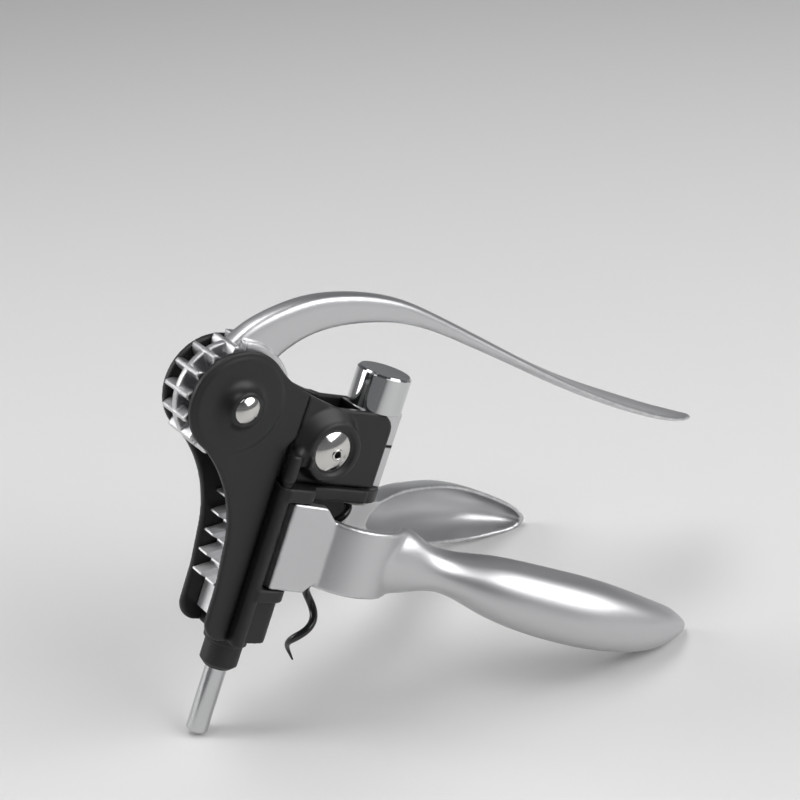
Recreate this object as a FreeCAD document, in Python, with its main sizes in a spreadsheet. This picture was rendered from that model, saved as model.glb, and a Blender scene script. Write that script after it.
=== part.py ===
import FreeCAD, Part
import math
import os
import re

from FreeCAD import Placement, Rotation, Vector

# Lever corkscrew in millimetres. It is modelled upright about three parallel lines: the gear axle along Y
# at the origin, and the guide rod and the worm along Z. The whole is then leaned forward about Y, so that
# it stands on the tip of its rod and the bellies of its two handles.

SIZES = {
    # lever gear and rack
    "gear_module": 2.05,
    "gear_teeth": 15,
    "gear_width": 12.4,
    "gear_rib": 2.0,
    "pressure_angle": 20,
    "tooth_backlash": 0.3,
    "rack_back": 2.4,
    "rack_top": 4.0,
    "rack_tail": 10.0,
    "rack_groove": 2.8,
    "rack_reach": 1.2,
    "rack_ridge": 0.6,
    "rack_teeth": 10,
    "tang_width": 6.0,
    "tang_height": 14.0,
    "tang_top": 6.0,
    # side plates
    "side_clearance": 0.3,
    "plate_wall": 2.2,
    "disc_radius": 16.4,
    "face_radius": 14.8,
    "face_rise": 0.5,
    "boss_foot": 9.2,
    "boss_head": 5.5,
    "boss_height": 4.4,
    # axle
    "axle_radius": 2.5,
    "bush_wall": 1.2,
    "axle_head": 4.3,
    "axle_head_rise": 1.9,
    "running_fit": 0.05,
    "seat_fit": 0.02,
    # frame
    "slide_gap": 0.3,
    "frame_left": 21.5,
    "frame_half_width": 10.0,
    "bar_top": 22.7,
    "bar_thickness": 4.3,
    "column_depth": 4.3,
    "frame_base": 75.6,
    "sill_top": 56.0,
    "sill_right": 36.6,
    "hinge_lug": 4.0,
    "nose_radius": 9.5,
    # guide rod and its collar
    "rod_line": 27.6,
    "rod_radius": 3.5,
    "rod_tip": 110.5,
    "rod_seat": 8.0,
    "rod_sleeve": 4.7,
    "collar_radius": 6.1,
    "collar_length": 12.0,
    # guide posts
    "post_line": 23.6,
    "post_radius": 1.6,
    "post_tube": 2.3,
    "post_foot": 74.0,
    "lug_top": 12.6,
    "lug_height": 4.0,
    "lug_radius": 2.1,
    # carriage
    "core_half_width": 5.2,
    "core_left": 23.1,
    "shell_left": 24.5,
    "core_top": 2.0,
    "core_front": 9.3,
    "shell_wall": 2.8,
    "shell_right": 59.2,
    "shell_rise": 3.5,
    "shell_lip": 1.6,
    "pocket_right": 46.8,
    "pocket_depth": 7.5,
    "pin_line": 37.0,
    "pin_depth": 10.6,
    "pin_boss": 9.4,
    "pin_boss_rise": 4.0,
    "pin_recess": 7.4,
    "rivet_radius": 3.0,
    "rivet_bore": 1.1,
    "rivet_head": 6.8,
    "rivet_head_rise": 2.3,
    "strip_top": 11.0,
    "strip_thickness": 1.0,
    # worm
    "worm_line": 56.0,
    "worm_radius": 4.0,
    "worm_wire": 1.3,
    "worm_lead": 20.0,
    "worm_tip": 86.5,
    "worm_shank_base": -25.0,
    "worm_bush": 3.6,
    "nut_radius": 6.0,
    # chrome cap
    "cap_radius": 8.8,
    "cap_height": 12.0,
    "cap_bore": 6.4,
    "cap_roof": 3.0,
    # jaws and handles
    "hinge_line": 31.0,
    "hinge_offset": 9.5,
    "hinge_pin": 2.25,
    "hinge_cover": 1.2,
    "hinge_barrel": 4.4,
    "cheek_left": 3.0,
    "cheek_wall": 3.7,
    "cheek_chamfer": 3.9,
    "ring_radius": 18.4,
    "ring_wall": 2.9,
    "pad_wall": 1.1,
    "ring_top": 31.5,
    "ring_height": 22.0,
    "jaw_split": 0.6,
    "collar_end": 6.5,
    "jaw_open": 10.0,
    "handle_rim": 7.5,
    "handle_splay": 4.0,
    "handle_wall": 1.3,
    "handle_turn": 70.0,
    # lever arm
    "lever_length": 197.0,
    "lever_half_width": 3.6,
    "paddle_half_width": 10.0,
    "sector_start": 28.0,
    "sector_end": 97.0,
    "sector_rise": 0.8,
}

doc = FreeCAD.newDocument("LeverCorkscrew")
sheet = doc.addObject("Spreadsheet::Sheet", "Sizes")
for row, (alias, value) in enumerate(SIZES.items(), start=1):
    sheet.set(f"A{row}", alias)
    sheet.set(f"B{row}", str(value))
    sheet.setAlias(f"B{row}", alias)
doc.recompute()

ALONG_Y = Rotation(Vector(1, 0, 0), -90)
UPRIGHT = Rotation()


def size(text):
    """The value of a formula of sheet sizes, for shapes that code works out."""
    words = {alias: float(sheet.get(alias)) for alias in set(re.findall(r"[a-z_]+", text)) & set(SIZES)}
    value = 0.0
    for term in re.findall(r"[+-]?[^+-]+", text.replace(" ", "")):
        sign = -1.0 if term.startswith("-") else 1.0
        product = sign
        for factor in term.lstrip("+-").split("*"):
            over = factor.split("/")
            product *= words[over[0]] if over[0] in words else float(over[0])
            for divisor in over[1:]:
                product /= words[divisor] if divisor in words else float(divisor)
        value += product
    return value


def formula(text):
    """The same formula as an expression that a property is bound to."""
    return re.sub(r"[a-z_]+", lambda word: "Sizes." + word.group(0), str(text))


places = {}

# Derived places, which follow the gear's width: half the gap between the side plates, the plates' outer
# faces, and the guide posts, whose tubes stand against those faces
HALF_GAP = "gear_width/2 + side_clearance"
PLATE_FACE = HALF_GAP + " + plate_wall"
POST_OFFSET = PLATE_FACE + " + post_tube"


def minus(text):
    """The negative of a sum."""
    return "-" + text.replace(" + ", " - ")


def bind(piece, at=("0", "0", "0"), turn=UPRIGHT, **sizes):
    places[piece.Name] = at
    piece.Placement = Placement(Vector(), turn)
    for axis, text in zip("xyz", at):
        piece.setExpression(f"Placement.Base.{axis}", formula(text))
    for prop, text in sizes.items():
        piece.setExpression(prop, formula(text))
    return piece


def cylinder(name, radius, height, at, turn=UPRIGHT):
    return bind(doc.addObject("Part::Cylinder", name), at, turn, Radius=radius, Height=height)


def cone(name, radius1, radius2, height, at, turn=UPRIGHT):
    piece = doc.addObject("Part::Cone", name)
    return bind(piece, at, turn, Radius1=radius1, Radius2=radius2, Height=height)


def box(name, length, width, height, at):
    return bind(doc.addObject("Part::Box", name), at, Length=length, Width=width, Height=height)


def fuse(name, pieces):
    piece = doc.addObject("Part::MultiFuse", name)
    piece.Shapes = pieces
    piece.Refine = True
    return piece


def cut(name, base, tools):
    piece = doc.addObject("Part::Cut", name)
    piece.Base = base
    piece.Tool = tools[0] if len(tools) == 1 else fuse(name + "_tools", tools)
    return piece


def common(name, pieces):
    piece = doc.addObject("Part::MultiCommon", name)
    piece.Shapes = pieces
    return piece


def mirrored(name, source):
    """The far piece of a pair: the near one in the middle plane, where it also takes its place from."""
    piece = doc.addObject("Part::Mirroring", name)
    piece.Source = source
    piece.Normal = Vector(0, 1, 0)
    return piece


def feature(name, shape):
    piece = doc.addObject("Part::Feature", name)
    piece.Shape = shape
    return piece


def profile_pad(name, edges, depth, offset):
    """A body padded towards -Y from a sketch in the XZ plane; offset is the sketch's distance towards -Y."""
    body = doc.addObject("PartDesign::Body", name)
    sketch = body.newObject("Sketcher::SketchObject", name + "_sketch")
    plane = [item for item in body.Origin.OriginFeatures if item.Role == "XZ_Plane"][0]
    sketch.AttachmentSupport = [(plane, "")]
    sketch.MapMode = "FlatFace"
    sketch.setExpression("AttachmentOffset.Base.z", formula(offset))
    for edge in edges:
        sketch.addGeometry(edge, False)
    pad = body.newObject("PartDesign::Pad", name + "_pad")
    pad.Profile = sketch
    pad.setExpression("Length", formula(depth))
    sketch.Visibility = False
    return body


def revolved(name, points, at=("0", "0", "0"), turn=UPRIGHT):
    """A body turned about Z from (radius, height) formulas."""
    body = doc.addObject("PartDesign::Body", name)
    sketch = body.newObject("Sketcher::SketchObject", name + "_sketch")
    plane = [item for item in body.Origin.OriginFeatures if item.Role == "XZ_Plane"][0]
    sketch.AttachmentSupport = [(plane, "")]
    sketch.MapMode = "FlatFace"
    corners = [Vector(size(radius), size(height), 0) for radius, height in points]
    for start, end in zip(corners, corners[1:] + corners[:1]):
        sketch.addGeometry(Part.LineSegment(start, end), False)
    turned = body.newObject("PartDesign::Revolution", name + "_turned")
    turned.Profile = sketch
    turned.ReferenceAxis = (sketch, ["V_Axis"])
    turned.Angle = 360.0
    return bind(body, at, turn)


def flat(x, z):
    """A point of a sketch in the XZ plane."""
    return Vector(x, z, 0)


def lines(points):
    return [Part.LineSegment(flat(*start), flat(*end)) for start, end in zip(points, points[1:])]


def arc(start, middle, end):
    return Part.Arc(flat(*start), flat(*middle), flat(*end))


def on_circle(radius, degrees):
    return radius * math.cos(math.radians(degrees)), radius * math.sin(math.radians(degrees))


# Gear geometry shared by the lever and the rack
module = size("gear_module")
teeth = int(size("gear_teeth"))
pitch_radius = module * teeth / 2
tip_radius = pitch_radius + module
root_radius = pitch_radius - 1.25 * module - size("rack_reach")
base_radius = pitch_radius * math.cos(math.radians(size("pressure_angle")))
tooth_step = 360.0 / teeth
rack_pitch = math.pi * module
rack_tip = pitch_radius - module
rack_root = pitch_radius + 1.25 * module


# Side plates of the yoke, which carry the axle and cover the rack

def plate_outline():
    radius = size("disc_radius")
    left = size("frame_left")
    base = -size("frame_base")
    edge = left + 2.3
    top_start = on_circle(radius, 50)
    waist_start = on_circle(radius, 246)
    waist_end = (10.6, -43.5)
    shin = (12.2, -57.0)
    heel = (12.4, base + 6.1)
    toe = (18.5, base)
    corner = (edge, 5.8)
    notch = (edge, -8.0)
    step = (left - 0.3, -12.0)
    foot = (left - 0.3, base)
    return [
        arc(top_start, on_circle(radius, 150), waist_start),
        arc(waist_start, (5.2, -28.3), waist_end),
        *lines([waist_end, shin, heel]),
        arc(heel, (13.9, base + 2.4), toe),
        *lines([toe, foot, step, notch, corner]),
        arc(corner, (16.5, 8.6), top_start),
    ]


def near_side_plate():
    plate = profile_pad("near_plate_pad", plate_outline(), "plate_wall", HALF_GAP)
    boss = feature("near_plate_boss", plate_boss())
    hole = cylinder("near_plate_hole", "axle_radius + seat_fit", "plate_wall + boss_height + 3",
                    ("0", minus(PLATE_FACE) + " - boss_height - 1", "0"), ALONG_Y)
    return cut("near_side_plate", fuse("near_plate_body", [plate, boss]), [hole])


def plate_boss():
    """Raised round face with a soft edge, and the hill in its middle that carries the rivet's head."""
    inside = -size(HALF_GAP) - 0.5
    face = -size(PLATE_FACE)
    raised = face - size("face_rise")
    top = face - size("boss_height")
    edge = size("face_radius")
    foot = size("boss_foot")
    head = size("boss_head")
    waist = Vector((foot + head) / 2 - 0.8, raised + 0.36 * (top - raised), 0)
    shoulder = Vector(head - 0.2, top + 0.25, 0)
    path = [
        Part.makeLine(Vector(0, inside, 0), Vector(edge, inside, 0)),
        Part.makeLine(Vector(edge, inside, 0), Vector(edge, face, 0)),
        Part.Arc(Vector(edge, face, 0), Vector(edge - 0.2, raised + 0.15, 0),
                 Vector(edge - 0.7, raised, 0)).toShape(),
        Part.makeLine(Vector(edge - 0.7, raised, 0), Vector(foot, raised, 0)),
        Part.Arc(Vector(foot, raised, 0), waist, Vector(head, top + 0.6, 0)).toShape(),
        Part.Arc(Vector(head, top + 0.6, 0), shoulder, Vector(head - 0.6, top, 0)).toShape(),
        Part.makeLine(Vector(head - 0.6, top, 0), Vector(0, top, 0)),
        Part.makeLine(Vector(0, top, 0), Vector(0, inside, 0)),
    ]
    return Part.Face(Part.Wire(path)).revolve(Vector(), Vector(0, 1, 0), 360)


# Frame: spine between the plates, guide tubes, bar over the jaws, sill under them

def frame_body():
    half = "frame_half_width"
    depth = "frame_base - bar_top"
    spine_left = pitch_radius + 1.25 * module + size("rack_back") + size("slide_gap")
    spine = feature("frame_spine", Part.makeBox(
        size("frame_left + column_depth") - spine_left, 2 * size(HALF_GAP), size(depth),
        Vector(spine_left, -size(HALF_GAP), -size("frame_base"))))
    column = box("frame_column", "column_depth", "2*frame_half_width", depth,
                 ("frame_left", "-" + half, "-frame_base"))
    sill = box("frame_sill", "sill_right - frame_left", "2*frame_half_width", "frame_base - sill_top",
               ("frame_left", "-" + half, "-frame_base"))
    round_sill = doc.addObject("Part::Fillet", "frame_round_sill")
    round_sill.Base = sill
    bar = box("frame_bar", "worm_line - frame_left", "2*frame_half_width", "bar_thickness",
              ("frame_left", "-" + half, "-bar_top - bar_thickness"))
    nose = cylinder("frame_nose", "nose_radius", "bar_thickness",
                    ("worm_line", "0", "-bar_top - bar_thickness"))
    sleeve = cylinder("frame_sleeve", "rod_sleeve", depth, ("rod_line", "0", "-frame_base"))
    tubes = [cylinder(f"frame_tube_{word}", "post_tube", depth, ("post_line", place, "-frame_base"))
             for word, place in (("near", minus(POST_OFFSET)), ("far", POST_OFFSET))]
    doc.recompute()
    upright_edges = [number for number, edge in enumerate(sill.Shape.Edges, start=1)
                     if edge.BoundBox.ZLength > 1 and edge.CenterOfMass.x > size("sill_right") - 1]
    round_sill.Edges = [(number, 4.0, 4.0) for number in upright_edges]
    rod_hole = cylinder("frame_rod_hole", "rod_radius + running_fit", "frame_base",
                        ("rod_line", "0", "-frame_base - 1"))
    nut_hole = cylinder("frame_nut_hole", "nut_radius + seat_fit", "bar_thickness + 2",
                        ("worm_line", "0", "-bar_top - bar_thickness - 1"))
    holes = [rod_hole, nut_hole]
    for word, side, post in (("near", "-", minus(POST_OFFSET)), ("far", "", POST_OFFSET)):
        holes.append(cylinder(f"frame_post_hole_{word}", "post_radius + running_fit", depth + " + 2",
                              ("post_line", post, "-frame_base + 1")))
        holes.append(cylinder(f"frame_pin_hole_{word}", "hinge_pin + seat_fit",
                              "sill_top + hinge_lug - bar_top - hinge_cover",
                              ("hinge_line", side + "hinge_offset", "-sill_top - hinge_lug")))
    solid = fuse("frame_solid", [spine, column, round_sill, bar, nose, sleeve, *tubes, *hinge_lugs()])
    return cut("frame_body", solid, holes)


def hinge_lugs():
    """Ears of the bar and the sill, which hold both ends of each hinge pin."""
    ears = []
    for word, side, edge in (("near", "-", "-hinge_offset - hinge_barrel"), ("far", "", "hinge_offset")):
        for level, low, height in (("high", "-bar_top - bar_thickness", "bar_thickness"),
                                   ("low", "-sill_top - hinge_lug", "hinge_lug")):
            ears.append(cylinder(f"frame_{level}_ear_{word}", "hinge_barrel", height,
                                 ("hinge_line", side + "hinge_offset", low)))
            ears.append(box(f"frame_{level}_web_{word}", "hinge_line - post_line", "hinge_barrel", height,
                            ("post_line", edge, low)))
    return ears


def rod_collar():
    bore = "rod_radius + running_fit"
    base = "-frame_base - collar_length"
    return revolved("rod_collar", [
        (bore, "-frame_base"),
        ("collar_radius + 0.9", "-frame_base"),
        ("collar_radius + 0.9", "-frame_base - 3"),
        ("collar_radius", "-frame_base - 3.6"),
        ("collar_radius", base + " + 1.6"),
        ("collar_radius - 1.6", base),
        (bore, base)], ("rod_line", "0", "0"))


def worm_nut():
    bore = "worm_radius + slide_gap"
    low = "-bar_top - bar_thickness"
    return revolved("worm_nut", [
        (bore, "-bar_top"),
        ("nut_radius", "-bar_top"),
        ("nut_radius", low),
        ("nut_radius + 1.4", low),
        ("nut_radius + 1.4", low + " - 1.4"),
        (bore, low + " - 1.4")], ("worm_line", "0", "0"))


def axle_pin():
    """Rivet through both side plates, with a domed head on each."""
    half = size(PLATE_FACE + " + boss_height")
    head = size("axle_head")
    rise = size("axle_head_rise")
    return feature("axle_pin", domed_pin(size("axle_radius"), half, head, rise, 0.0))


def domed_pin(radius, half, head, rise, bore):
    ball = (head * head + rise * rise) / (2 * rise)
    shaft = Part.makeCylinder(radius, 2 * half, Vector(0, -half, 0), Vector(0, 1, 0))
    pieces = []
    for side in (-1, 1):
        centre = Vector(0, side * (half + rise - ball), 0)
        slab = Part.makeCylinder(head, rise, Vector(0, side * half, 0), Vector(0, side, 0))
        pieces.append(Part.makeSphere(ball, centre).common(slab))
    solid = shaft.fuse(pieces)
    if bore > 0:
        length = 2 * (half + rise) + 2
        solid = solid.cut(Part.makeCylinder(bore, length, Vector(0, -length / 2, 0), Vector(0, 1, 0)))
    return solid


def near_hinge_pin():
    length = "sill_top + hinge_lug - bar_top - hinge_cover"
    return cylinder("near_hinge_pin", "hinge_pin", length,
                    ("hinge_line", "-hinge_offset", "-sill_top - hinge_lug"))


# Lever: gear teeth, smooth hub sector and the arm with its paddle, one casting

def involute(radius, turn):
    """Point of the involute at a radius, turned so that it crosses the pitch circle at the angle given."""
    roll = math.sqrt(max((radius / base_radius) ** 2 - 1, 0.0))
    pitch_roll = math.sqrt((pitch_radius / base_radius) ** 2 - 1)
    angle = (roll - math.atan(roll)) - (pitch_roll - math.atan(pitch_roll)) + turn
    return Vector(radius * math.cos(angle), 0, radius * math.sin(angle))


def gear_tooth(centre_degrees, half_width):
    half_angle = (rack_pitch / 2 - size("tooth_backlash")) / 2 / pitch_radius
    foot = root_radius - 0.6
    start = max(base_radius, root_radius)
    radii = [start + (tip_radius - start) * step / 3 for step in range(4)]
    lower = [involute(radius, -half_angle) for radius in radii]
    upper = [Vector(point.x, 0, -point.z) for point in reversed(lower)]
    low_angle = math.atan2(lower[0].z, lower[0].x)
    low_foot = Vector(foot * math.cos(low_angle), 0, foot * math.sin(low_angle))
    high_foot = Vector(low_foot.x, 0, -low_foot.z)
    rising = Part.BSplineCurve()
    rising.interpolate(lower)
    falling = Part.BSplineCurve()
    falling.interpolate(upper)
    outline = Part.Wire([
        Part.makeLine(low_foot, lower[0]), rising.toShape(), Part.makeLine(lower[-1], upper[0]),
        falling.toShape(), Part.makeLine(upper[-1], high_foot), Part.makeLine(high_foot, low_foot)])
    tooth = Part.Face(outline).extrude(Vector(0, 2 * half_width, 0))
    tooth.translate(Vector(0, -half_width, 0))
    tooth.rotate(Vector(), Vector(0, 1, 0), -centre_degrees)
    return tooth


def smooth_tube(sections):
    """Solid with a smooth skin through closed sections.

    Each section is (middle, across, up, half width, half height, fullness, lift of its sides); a fullness of 2
    is an ellipse and a larger one is squarer.
    """
    root_two = math.sqrt(2)
    rows = []
    for middle, across, up, half_width, half_height, fullness, lift in sections:
        corner = (6 * root_two * 2 ** (-1 / fullness) - 1.5 * root_two) / 3.5
        reach = [(6 - root_two * corner) / 4, corner]
        row = []
        for step in range(8):
            side = reach[step % 2] * math.cos(math.pi * step / 4)
            rise = reach[step % 2] * math.sin(math.pi * step / 4)
            row.append(middle + across * (side * half_width) + up * (rise * half_height + lift * side * side))
        rows.append(row)
    places = [0.0]
    for before, after in zip(sections, sections[1:]):
        places.append(places[-1] + (after[0] - before[0]).Length)
    columns = []
    for step in range(8):
        line = Part.BSplineCurve()
        line.interpolate(Points=[row[step] for row in rows], Parameters=places)
        columns.append(line)
    poles = [[line.getPole(index + 1) for line in columns] for index in range(columns[0].NbPoles)]
    skin = Part.BSplineSurface()
    skin.buildFromPolesMultsKnots(poles, columns[0].getMultiplicities(), [1] * 9, columns[0].getKnots(),
                                  list(range(9)), False, True, columns[0].Degree, 3)
    ends = [Part.Face(Part.Wire([skin.uIso(place).toShape()])) for place in (places[0], places[-1])]
    shell = Part.makeShell([skin.toShape(), *ends])
    shell.sewShape()
    solid = Part.makeSolid(shell)
    return solid if solid.Volume > 0 else solid.reversed()


ARM = [
    # x, height of the middle, half thickness, half width, fullness, lift of the sides
    (1.5, 11.0, 8.2, 3.6, 4.0, 0.0), (6.0, 17.2, 7.7, 3.6, 4.0, 0.0), (12.4, 22.8, 6.7, 3.6, 3.8, 0.0),
    (21.0, 27.8, 5.8, 3.6, 3.6, 0.0), (31.5, 31.1, 5.0, 3.6, 3.4, 0.0), (43.0, 32.9, 4.3, 3.6, 3.2, 0.0),
    (54.5, 33.2, 3.5, 3.7, 3.0, 0.0), (67.0, 31.7, 2.7, 3.9, 2.8, 0.0), (82.5, 28.6, 2.2, 4.7, 2.8, 0.0),
    (102.5, 24.1, 1.8, 6.5, 2.8, 0.3), (121.0, 19.8, 1.5, 8.3, 2.8, 0.8), (139.0, 16.2, 1.3, 9.5, 2.8, 1.3),
    (156.0, 13.7, 1.25, 10.0, 2.8, 1.5), (171.0, 12.3, 1.2, 9.3, 2.8, 1.3), (183.0, 11.9, 1.1, 7.2, 2.6, 0.8),
    (191.5, 12.2, 1.0, 4.5, 2.4, 0.3), (196.4, 12.6, 0.8, 1.8, 2.2, 0.0)]


def lever_arm():
    stretch = size("lever_length") / 197.0
    neck = size("lever_half_width") / 3.6
    paddle = size("paddle_half_width") / 10.0
    middles = [Vector(x * stretch, 0, z) for x, z, *rest in ARM]
    sections = []
    for index, (x, z, thick, half_width, fullness, lift) in enumerate(ARM):
        ahead = middles[min(index + 1, len(ARM) - 1)] - middles[max(index - 1, 0)]
        ahead.normalize()
        widen = neck if x < 75 else paddle
        sections.append((middles[index], Vector(0, 1, 0), Vector(-ahead.z, 0, ahead.x), half_width * widen,
                         thick, fullness, lift))
    return smooth_tube(sections)


def ring_sector(outer, inner, half_width, start, end):
    """Part of a ring about the axle, from one angle to another."""
    inside = [Vector(*(on_circle(inner, angle)[:1] + (0,) + on_circle(inner, angle)[1:]))
              for angle in (start, (start + end) / 2, end)]
    outside = [Vector(*(on_circle(outer, angle)[:1] + (0,) + on_circle(outer, angle)[1:]))
               for angle in (start, (start + end) / 2, end)]
    outline = Part.Wire([
        Part.Arc(*outside).toShape(), Part.makeLine(outside[2], inside[2]),
        Part.Arc(inside[2], inside[1], inside[0]).toShape(), Part.makeLine(inside[0], outside[0])])
    sector = Part.Face(outline).extrude(Vector(0, 2 * half_width, 0))
    sector.translate(Vector(0, -half_width, 0))
    return sector


def lever():
    half = size("gear_width/2")
    rib = size("gear_rib/2")
    start = size("sector_start")
    end = size("sector_end")
    drum = Part.makeCylinder(root_radius, 2 * half, Vector(0, -half, 0), Vector(0, 1, 0))
    pieces = [gear_tooth(tooth_step / 2 - index * tooth_step, half) for index in range(12)]
    pieces.append(ring_sector(tip_radius - 0.3, root_radius - 2, rib, end - 2, 360 + tooth_step / 2))
    pieces.append(ring_sector(tip_radius + size("sector_rise"), root_radius - 2, half, start, end))
    pieces.append(lever_arm())
    solid = drum.fuse(pieces)
    bore = size("axle_radius + bush_wall + seat_fit")
    hole = Part.makeCylinder(bore, 2 * half + 2, Vector(0, -half - 1, 0), Vector(0, 1, 0))
    return feature("lever", solid.cut(hole).removeSplitter())


def lever_bush():
    half = "gear_width/2"
    return revolved("lever_bush", [
        ("axle_radius + running_fit", "-" + half),
        ("axle_radius + bush_wall", "-" + half),
        ("axle_radius + bush_wall", half),
        ("axle_radius + running_fit", half)], turn=ALONG_Y)


# Carriage: everything that the gear drives up and down

def rack():
    half = size("gear_width/2")
    back = rack_root + size("rack_back")
    slope = math.tan(math.radians(size("pressure_angle")))
    half_pitch = rack_pitch / 4 - size("tooth_backlash") / 2
    tip_half = half_pitch - module * slope
    root_half = half_pitch + 1.25 * module * slope
    count = int(size("rack_teeth"))
    bottom = -(count - 1) * rack_pitch - root_half - size("rack_tail")
    reach = rack_tip - size("rack_reach")
    ridge = size("rack_ridge/2")
    points = [(back, size("rack_top")), (rack_root, size("rack_top"))]
    for index in range(count):
        centre = -index * rack_pitch
        points += [(rack_root, centre + root_half), (rack_tip, centre + tip_half), (reach, centre + ridge),
                   (reach, centre - ridge), (rack_tip, centre - tip_half), (rack_root, centre - root_half)]
    points += [(rack_root, bottom), (back, bottom)]
    bar = profile_pad("rack_bar", lines(points + points[:1]), "gear_width", "-gear_width/2")
    groove = feature("rack_groove_cut", Part.makeBox(
        tip_radius + 0.4 - reach + 1, size("rack_groove"), -bottom + size("rack_top") + 2,
        Vector(reach - 1, -size("rack_groove/2"), bottom - 1)))
    tang = feature("rack_tang", Part.makeBox(
        size("core_left") - back + 0.2, size("tang_width"), size("tang_height"),
        Vector(back - 0.2, -size("tang_width/2"), -size("tang_top + tang_height"))))
    return fuse("rack", [cut("rack_toothed", bar, [groove]), tang])


def guide_rod():
    seat = "rod_seat - bar_top"
    return revolved("guide_rod", [
        ("0", seat), ("rod_radius", seat), ("rod_radius", "-rod_tip + 0.8"), ("rod_radius - 0.8", "-rod_tip"),
        ("0", "-rod_tip")], ("rod_line", "0", "0"))


def near_guide_post():
    return cylinder("near_guide_post", "post_radius", "post_foot - lug_top - 1",
                    ("post_line", minus(POST_OFFSET), "-post_foot"))


def carriage_core():
    half = "core_half_width"
    low = "-bar_top + slide_gap"
    height = "core_top + bar_top - slide_gap"
    block = box("core_block", "worm_line - core_left", "2*core_half_width", height,
                ("core_left", "-" + half, low))
    front = cylinder("core_front_round", "core_front", height, ("worm_line", "0", low))
    slab = box("core_slab", "30", "2*core_half_width", height, ("worm_line - 1", "-" + half, low))
    nose = common("core_nose", [front, slab])
    step = box("core_step", "6", "2*core_half_width + 2", "strip_top",
               ("worm_line + core_front - strip_thickness", "-core_half_width - 1", low + " - 0.01"))
    rod_hole = cylinder("core_rod_hole", "rod_radius + seat_fit", "rod_seat + slide_gap",
                        ("rod_line", "0", low + " - slide_gap"))
    bush_hole = cylinder("core_bush_hole", "worm_bush + seat_fit", "core_top + bar_top + 2",
                         ("worm_line", "0", "-bar_top - 1"))
    rivet_hole = cylinder("core_rivet_hole", "rivet_radius + seat_fit", "2*core_half_width + 2",
                          ("pin_line", "-core_half_width - 1", "-pin_depth"), ALONG_Y)
    pocket = box("core_pocket", "pocket_right - core_left + 1", "2*core_half_width + 2", "pocket_depth + 1",
                 ("core_left - 1", "-core_half_width - 1", "core_top - pocket_depth"))
    holes = [step, rod_hole, bush_hole, rivet_hole, pocket]
    return cut("carriage_core", fuse("core_solid", [block, nose]), holes)


def front_strip():
    low = "-bar_top + slide_gap"
    outer = cylinder("strip_outer", "core_front", "strip_top - 0.8", ("worm_line", "0", low))
    slab = box("strip_slab", "strip_thickness", "2*core_half_width", "strip_top - 0.8",
               ("worm_line + core_front - strip_thickness", "-core_half_width", low))
    return common("front_strip", [outer, slab])


def near_carriage_shell():
    left = size("shell_left")
    right = size("shell_right")
    top = size("core_top")
    low = size("slide_gap - bar_top")
    rise = size("shell_rise")
    crest = [(left, top + rise), (left + 6.0, top + 0.46 * rise), (left + 13.0, top)]
    corner = [(right - 5.5, top), (right - 1.6, top - 1.6), (right, top - 5.5)]
    edges = [*lines([(left, low), crest[0]]), arc(*crest), *lines([crest[2], corner[0]]), arc(*corner),
             *lines([corner[2], (right, low), (left, low)])]
    wall = profile_pad("near_shell_pad", edges, "shell_wall", "core_half_width")
    edges = [*lines([(left, top), crest[0]]), arc(*crest), *lines([crest[2], (left, top)])]
    lip = profile_pad("near_shell_lip", edges, "shell_lip + 0.4", "core_half_width - shell_lip")
    face = "-core_half_width - shell_wall"
    boss = cone("near_shell_boss", "pin_boss", "pin_boss + 1.2", "pin_boss_rise + 0.5",
                ("pin_line", face + " - pin_boss_rise", "-pin_depth"), ALONG_Y)
    low_lug = "-lug_top - lug_height"
    lug = cylinder("near_shell_lug", "lug_radius", "lug_height", ("post_line", minus(POST_OFFSET), low_lug))
    recess = cylinder("near_shell_recess", "pin_recess", "1.2",
                      ("pin_line", face + " - pin_boss_rise - 0.2", "-pin_depth"), ALONG_Y)
    bridge = box("near_shell_bridge", "5.3", "lug_radius + 0.5 - core_half_width - shell_wall + " + POST_OFFSET,
                 "lug_height", ("post_line + 0.7", minus(POST_OFFSET) + " - lug_radius", low_lug))
    rivet_hole = cylinder("near_shell_rivet_hole", "rivet_radius + seat_fit", "12",
                          ("pin_line", face + " - pin_boss_rise - 1", "-pin_depth"), ALONG_Y)
    post_hole = cylinder("near_shell_post_hole", "post_radius + seat_fit", "lug_height",
                         ("post_line", minus(POST_OFFSET), low_lug + " - 1"))
    solid = fuse("near_shell_solid", [wall, lip, boss, lug, bridge])
    return cut("near_carriage_shell", solid, [recess, rivet_hole, post_hole])


def carriage_pin():
    """Tubular rivet with wide domed heads, seated in the recesses of both bosses."""
    half = size("core_half_width + shell_wall + pin_boss_rise - 1")
    pin = domed_pin(size("rivet_radius"), half, size("rivet_head"), size("rivet_head_rise"),
                    size("rivet_bore"))
    pin.translate(Vector(size("pin_line"), 0, -size("pin_depth")))
    return feature("carriage_pin", pin)


def worm_bearing():
    low = "-bar_top + slide_gap"
    return revolved("worm_bearing", [
        ("worm_wire + running_fit", low), ("worm_bush", low), ("worm_bush", "core_top"),
        ("worm_wire + running_fit", "core_top")], ("worm_line", "0", "0"))


def cap():
    top = "core_top + cap_height"
    return revolved("cap", [
        ("cap_bore", "core_top"), ("cap_radius", "core_top"), ("cap_radius", top + " - 0.7"),
        ("cap_radius - 0.7", top), ("0", top), ("0", top + " - cap_roof"),
        ("cap_bore", top + " - cap_roof")], ("worm_line", "0", "0"))


# Worm, which turns on the carriage: a wire bent to a right-handed helix, with a straight shank

def wire_middle(height):
    """Middle of the wire at a height; the phase turns the whole helix."""
    blend = min(max((size("worm_shank_base") - height) / 9.0, 0.0), 1.0)
    radius = size("worm_radius - worm_wire") * blend * blend * (3 - 2 * blend)
    angle = 2 * math.pi * (height + 68.7) / size("worm_lead")
    return Vector(size("worm_line") + radius * math.cos(angle), radius * math.sin(angle), height)


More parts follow.
